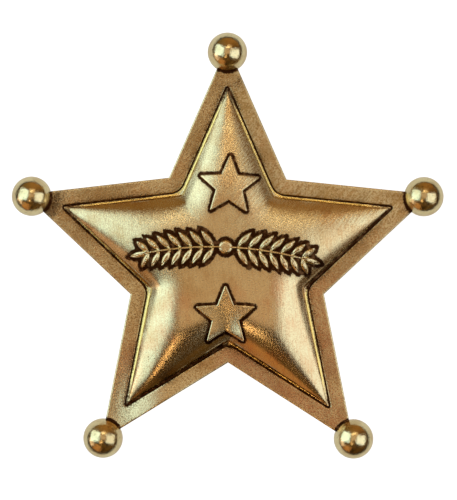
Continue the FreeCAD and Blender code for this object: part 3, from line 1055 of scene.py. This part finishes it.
# %% [markdown]
# A thin brown film lies over the rest: in clouds, in the scratches and in the grain of
# the rim. Rubbed edges and worn spots are bare of it, which also lightens the worn spots
# as painted highlights. It is redder towards the lower arms, and it is mixed in as a
# colour, because a real film is too thin to have a thickness of its own.

# %% The brown film
film = times(tree, ramp(tree, noise(tree, plain, 0.22, 3.0), 0.42, 0.68), 0.5)
streaked = times(tree, ramp(tree, streaks, 0.46, 0.62), slide(tree, to_right, 0.2, 0.5))
film = plus(tree, film, streaked, clamp=True)
grained = times(tree, ramp(tree, grain, 0.46, 0.58), slide(tree, on_rim, 0.25, 0.85))
film = plus(tree, film, grained, clamp=True)
# bare of film: rubbed edges, and worn spots lightened as painted highlights
bare_and_highlit = most(tree, stored(tree, "rub"), times(tree, stored(tree, "wear_and_highlight"), 0.8))
film = times(tree, film, slide(tree, bare_and_highlit, 1.0, 0.0))

red_clouds = ramp(tree, noise(tree, plain, 0.09, 2.0), 0.35, 0.6)
redder = times(tree, red_clouds, plus(tree, 0.3, low_down), clamp=True)
# painted reflection: a deeper brass on the line at the middle's foot, as the rim mirrored there
brass = mixed(tree, stored(tree, "foot_line"), BRASS, FOOT_REFLECTION_BRASS)
brass = mixed(tree, film, brass, mixed(tree, redder, FILM, COPPERY))
print("with film:", len(tree.nodes), "nodes")

# %% [markdown]
# The rim is tarnished in wide patches, and the shaded places get a warm brown as
# painted shade. Then the grain of the rim gets its own dark dots, and last of all comes
# the patina with the painted ledge shade, because it lies on top of everything else.

# %% Tarnish, painted shade and patina
patches = ramp(tree, noise(tree, plain, 0.16, 3.0), 0.38, 0.66)
tarnish = times(tree, patches, calc(tree, "SUBTRACT", on_rim, bare_and_highlit))
brass = mixed(tree, times(tree, tarnish, 0.5), brass, mixed(tree, low_down, TARNISH, RED_TARNISH))
# painted shade: warm brown where these values are high, less on rubbed and lightened metal
painted_shade = times(tree, stored(tree, "shade_and_dirt"), ramp(tree, noise(tree, plain, 0.35, 3.0), 0.32, 0.62))
brass = mixed(tree, times(tree, painted_shade, slide(tree, bare_and_highlit, 0.5, 0.0)), brass, SHADE_BROWN)
grain_dots = times(tree, ramp(tree, grain, 0.56, 0.70), on_rim)
brass = mixed(tree, times(tree, grain_dots, 0.5), brass, BROWN)
deep = mixed(tree, ramp(tree, noise(tree, plain, 1.3, 3.0), 0.5, 0.7), PATINA_AND_SHADE_BLACK, BROWN)
tree.links.new(mixed(tree, dark, brass, deep), shader.inputs["Base Color"])
print("colour done:", len(tree.nodes), "nodes")

# %% [markdown]
# Gloss and relief are most of what the eye reads as brushed metal. The grain and the
# patina are duller than the rubbed edges. Scratches and grain are small bumps that
# break up the reflections, deeper at the right and fainter on the lower half, where
# the metal mirrors more clearly. Displacing the mesh for them would need millions of
# faces.

# %% Gloss and relief of the casting
rough = slide(tree, on_rim, 0.17, 0.23)
rough = plus(tree, rough, times(tree, ramp(tree, grain, 0.44, 0.66), 0.12))
rough = plus(tree, rough, times(tree, dark, 0.15))
rough = times(tree, rough, slide(tree, stored(tree, "rub"), 1.0, 0.65))
rough = plus(tree, rough, times(tree, to_right, 0.08))
tree.links.new(rough, shader.inputs["Roughness"])

scratch_depth = times(tree, slide(tree, to_right, 0.6, 5.6), slide(tree, on_rim, 1.0, 0.5))
scratches = times(tree, streaks, scratch_depth)
pebbles = times(tree, grain, slide(tree, on_rim, 0.6, 2.6))
matt = slide(tree, ramp(tree, up_down, 2.0, -14.0), 1.6, 0.4)
matt = plus(tree, matt, times(tree, stored(tree, "relief"), 0.2))
matting = times(tree, noise(tree, plain, 13.0, 1.0), matt)
height = plus(tree, matting, plus(tree, scratches, pebbles))
bent = bump(tree, stored(tree, "bend"), 1.0, MM)
tree.links.new(bump(tree, height, 0.24, 0.05 * MM, Normal=bent), shader.inputs["Normal"])
star.data.materials.append(antique)
print("antique brass has", len(tree.nodes), "nodes")

# %% [markdown]
# ### Polished brass
#
# The five balls are smoother than the casting and mirror the room, with a few dark
# specks left from the dip. A perfect mirror would look computer-made, so their gloss
# changes in soft patches and their surface is very slightly wavy.

# %% Polished brass
BALL_BRASS = (0.92, 0.80, 0.45, 1)

polished, tree, shader = finish("polished_brass")
plain = coordinates(tree)
specks = ramp(tree, noise(tree, plain, 2.4, 4.0, 0.7), 0.62, 0.70)
clouds = ramp(tree, noise(tree, plain, 0.5, 3.0), 0.4, 0.7)
brass = mixed(tree, slide(tree, clouds, 0.10, 0.50), BALL_BRASS, FILM)
tree.links.new(mixed(tree, specks, brass, PATINA_AND_SHADE_BLACK), shader.inputs["Base Color"])
shader.inputs["Metallic"].default_value = 1.0
tree.links.new(slide(tree, noise(tree, plain, 1.5, 3.0), 0.13, 0.25), shader.inputs["Roughness"])
waves = noise(tree, plain, 1.6, 3.0, 0.6)
tree.links.new(bump(tree, waves, 0.45, 0.1 * MM), shader.inputs["Normal"])
print("polished brass has", len(tree.nodes), "nodes")

# %% [markdown]
# ### Pin metal
#
# The pin behind is ordinary nickel-plated steel, dull from the cloth that it runs
# through. It was drawn as a wire, so its fine lines run along it: noise that is
# stretched one way gives them.

# %% Pin metal
PLATED = (0.60, 0.58, 0.53, 1)
DULLED = (0.42, 0.40, 0.36, 1)
DRAWN = (0.4, 6.0, 6.0)

steel, tree, shader = finish("pin_steel")
dull = ramp(tree, noise(tree, coordinates(tree), 1.4, 3.0), 0.35, 0.7)
tree.links.new(mixed(tree, dull, PLATED, DULLED), shader.inputs["Base Color"])
shader.inputs["Metallic"].default_value = 1.0
tree.links.new(slide(tree, dull, 0.28, 0.43), shader.inputs["Roughness"])
lines = noise(tree, coordinates(tree, 0.0, DRAWN), 1.0)
tree.links.new(bump(tree, lines, 0.2, 0.04 * MM), shader.inputs["Normal"])
print("pin metal has", len(tree.nodes), "nodes")

# %% [markdown]
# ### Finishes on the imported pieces
#
# Balls and pin are plain turned and bent pieces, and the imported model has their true
# shape already. They could be built again with finer faces, but nothing would be
# gained, so they only get their finish.


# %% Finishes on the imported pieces
def dress(name, material):
    """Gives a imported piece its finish."""
    piece = bpy.data.objects[name]
    piece.data.materials.clear()
    piece.data.materials.append(material)


for arm, *_ in BALLS:
    dress("ball_tip_" + arm, polished)
dress("brooch_pin", steel)
print("packed pieces dressed:", len(BALLS) + 1)

# %% [markdown]
# ## The table
#
# The badge lies on a pale table, which is seen as plain white. Polished metal is only
# as good as what it has to mirror, so the table is pale just around the badge and dark
# farther off, where the flanks and balls would otherwise mirror a bright floor.

# %% The table
TABLE_HALF = 0.6
PAPER_LOW = (0.36, 0.36, 0.36, 1)
PAPER_HIGH = (0.40, 0.40, 0.40, 1)
FAR_TABLE = (0.05, 0.045, 0.04, 1)
PALE_TO, DARK_FROM = 48.0, 64.0

square = [(-TABLE_HALF, -TABLE_HALF, 0), (TABLE_HALF, -TABLE_HALF, 0),
          (TABLE_HALF, TABLE_HALF, 0), (-TABLE_HALF, TABLE_HALF, 0)]
table_mesh = bpy.data.meshes.new("table")
table_mesh.from_pydata(square, [], [(0, 1, 2, 3)])
table = bpy.data.objects.new("table", table_mesh)
bpy.context.scene.collection.objects.link(table)
table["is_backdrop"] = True

paper, tree, shader = finish("paper")
from_middle = node(tree, "VectorMath", {"operation": "LENGTH"}, Vector=coordinates(tree)).outputs["Value"]
near_badge = ramp(tree, from_middle, DARK_FROM, PALE_TO)
pale = mixed(tree, noise(tree, coordinates(tree), 0.05), PAPER_LOW, PAPER_HIGH)
tree.links.new(mixed(tree, near_badge, FAR_TABLE, pale), shader.inputs["Base Color"])
shader.inputs["Roughness"].default_value = 0.9
shader.inputs["Specular IOR Level"].default_value = 0.1
seen = node(tree, "LightPath").outputs["Is Camera Ray"]
glow = most(tree, seen, times(tree, near_badge, 0.4))
shader.inputs["Emission Color"].default_value = (1.0, 1.0, 1.0, 1)
tree.links.new(glow, shader.inputs["Emission Strength"])
table_mesh.materials.append(paper)
print("table:", round(2 * TABLE_HALF, 2), "m across")

# %% [markdown]
# ## Lights
#
# Big soft lights stand on either side, and the balls show them as bright patches. A dim
# warm one overhead lights the flat faces. Two small lamps give the sharp shine on the
# top arm and on the lower star, and warm boards fill the lower left and the top. Spot
# lights would leave metal black between hard dots, so all of them are surfaces.

# %% Lights
# watts for each square metre and each unit of brightness
WATTS = 4
# name, bearing, height in degrees, reach, width, height, colour, brightness
LIGHTS = (
    ("left_light", 166, 40, 0.6, 0.62, 0.64, (0.72, 0.94, 1.06), 1.14),
    ("right_light", -8, 44, 0.6, 0.56, 0.60, (0.93, 1.0, 1.08), 0.87),
    ("overhead_light", 90, 86, 0.9, 0.5, 0.5, (1.0, 0.72, 0.50), 0.37),
    ("upper_board", 68, 56, 0.9, 0.40, 0.26, (1.0, 0.76, 0.47), 0.50),
    ("upper_lamp", 90, 61, 0.9, 0.19, 0.10, (1.0, 0.81, 0.57), 3.0),
    ("lower_lamp", -114, 63, 0.9, 0.11, 0.11, (1.0, 0.64, 0.33), 3.2),
    ("warm_board", -121, 20, 0.6, 0.36, 0.42, (1.0, 0.45, 0.16), 0.30),
    ("pink_board", -160, 16, 0.6, 0.34, 0.22, (1.0, 0.74, 0.60), 0.70),
)


def softbox(name, bearing, height, reach, wide, tall, colour, brightness):
    """An area light that faces the badge from a bearing and a height in degrees."""
    level = math.cos(math.radians(height)) * reach
    place = Vector((level * math.cos(math.radians(bearing)), level * math.sin(math.radians(bearing)),
                    math.sin(math.radians(height)) * reach))
    light = bpy.data.lights.new(name, "AREA")
    light.shape = "RECTANGLE"
    light.size = wide
    light.size_y = tall
    light.color = colour
    light.energy = brightness * WATTS * wide * tall
    lamp = bpy.data.objects.new(name, light)
    lamp.location = place
    lamp.rotation_euler = place.to_track_quat("Z", "Y").to_euler()
    lamp.visible_camera = False
    bpy.context.scene.collection.objects.link(lamp)


for row in LIGHTS:
    softbox(*row)
print("lights:", len(LIGHTS))

# %% [markdown]
# ## Room
#
# Between the lights the metal mirrors the room itself. An even grey would look like a
# studio, so the room is dark brown with soft patches and warmer towards the top. What
# is seen past the table is plain white, like the table.

# %% Room
DARK_CORNER = (0.014, 0.007, 0.001, 1)
BROWN_WALL = (0.11, 0.055, 0.012, 1)
UPPER_RIGHT = (0.30, 0.145, 0.04, 1)
UPPER_LEFT = (0.17, 0.10, 0.025, 1)

world = bpy.data.worlds.new("room")
world.use_nodes = True
tree = world.node_tree
tree.nodes.clear()
way = node(tree, "TexCoord").outputs["Generated"]
towards = node(tree, "SeparateXYZ", Vector=way)
walls = mixed(tree, ramp(tree, noise(tree, way, 2.2, 1.0), 0.35, 0.65), DARK_CORNER, BROWN_WALL)
upper = mixed(tree, ramp(tree, towards.outputs["X"], 0.2, -0.7), UPPER_RIGHT, UPPER_LEFT)
walls = mixed(tree, ramp(tree, towards.outputs["Y"], 0.1, 1.0), walls, upper)
around = node(tree, "Background", Color=walls, Strength=1.0)
behind = node(tree, "Background", Color=(1, 1, 1, 1), Strength=1.0)
seen = node(tree, "LightPath").outputs["Is Camera Ray"]
both = node(tree, "MixShader", in0=seen, in1=around.outputs[0], in2=behind.outputs[0])
node(tree, "OutputWorld", Surface=both.outputs[0])
bpy.context.scene.world = world
bpy.context.scene.view_settings.view_transform = "Standard"
print("room has", len(tree.nodes), "nodes")

# %% [markdown]
# ## Camera
#
# The badge is seen from straight above, from far enough away that the balls' sides
# don't show. A long lens keeps the whole star in the picture. A camera without
# perspective would do too, but the balls would then mirror slightly other places.

# %% Camera
camera = bpy.data.cameras.new("camera")
camera.lens = 270
camera.sensor_width = 36
camera.sensor_height = 36
camera.sensor_fit = "VERTICAL"
camera.clip_start = 0.01
eye = bpy.data.objects.new("camera", camera)
eye.location = (0.00013, -0.00071, 0.604)
bpy.context.scene.collection.objects.link(eye)
bpy.context.scene.camera = eye
print("camera:", round(eye.location.z, 3), "m above the table")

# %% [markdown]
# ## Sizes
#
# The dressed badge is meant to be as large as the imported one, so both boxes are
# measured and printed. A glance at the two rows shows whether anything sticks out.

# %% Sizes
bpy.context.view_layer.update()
print("CAD and dressed boxes, mm:")
for box in (cad_bounds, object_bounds()):
    print([[round(x / MM, 2) for x in corner] for corner in box])
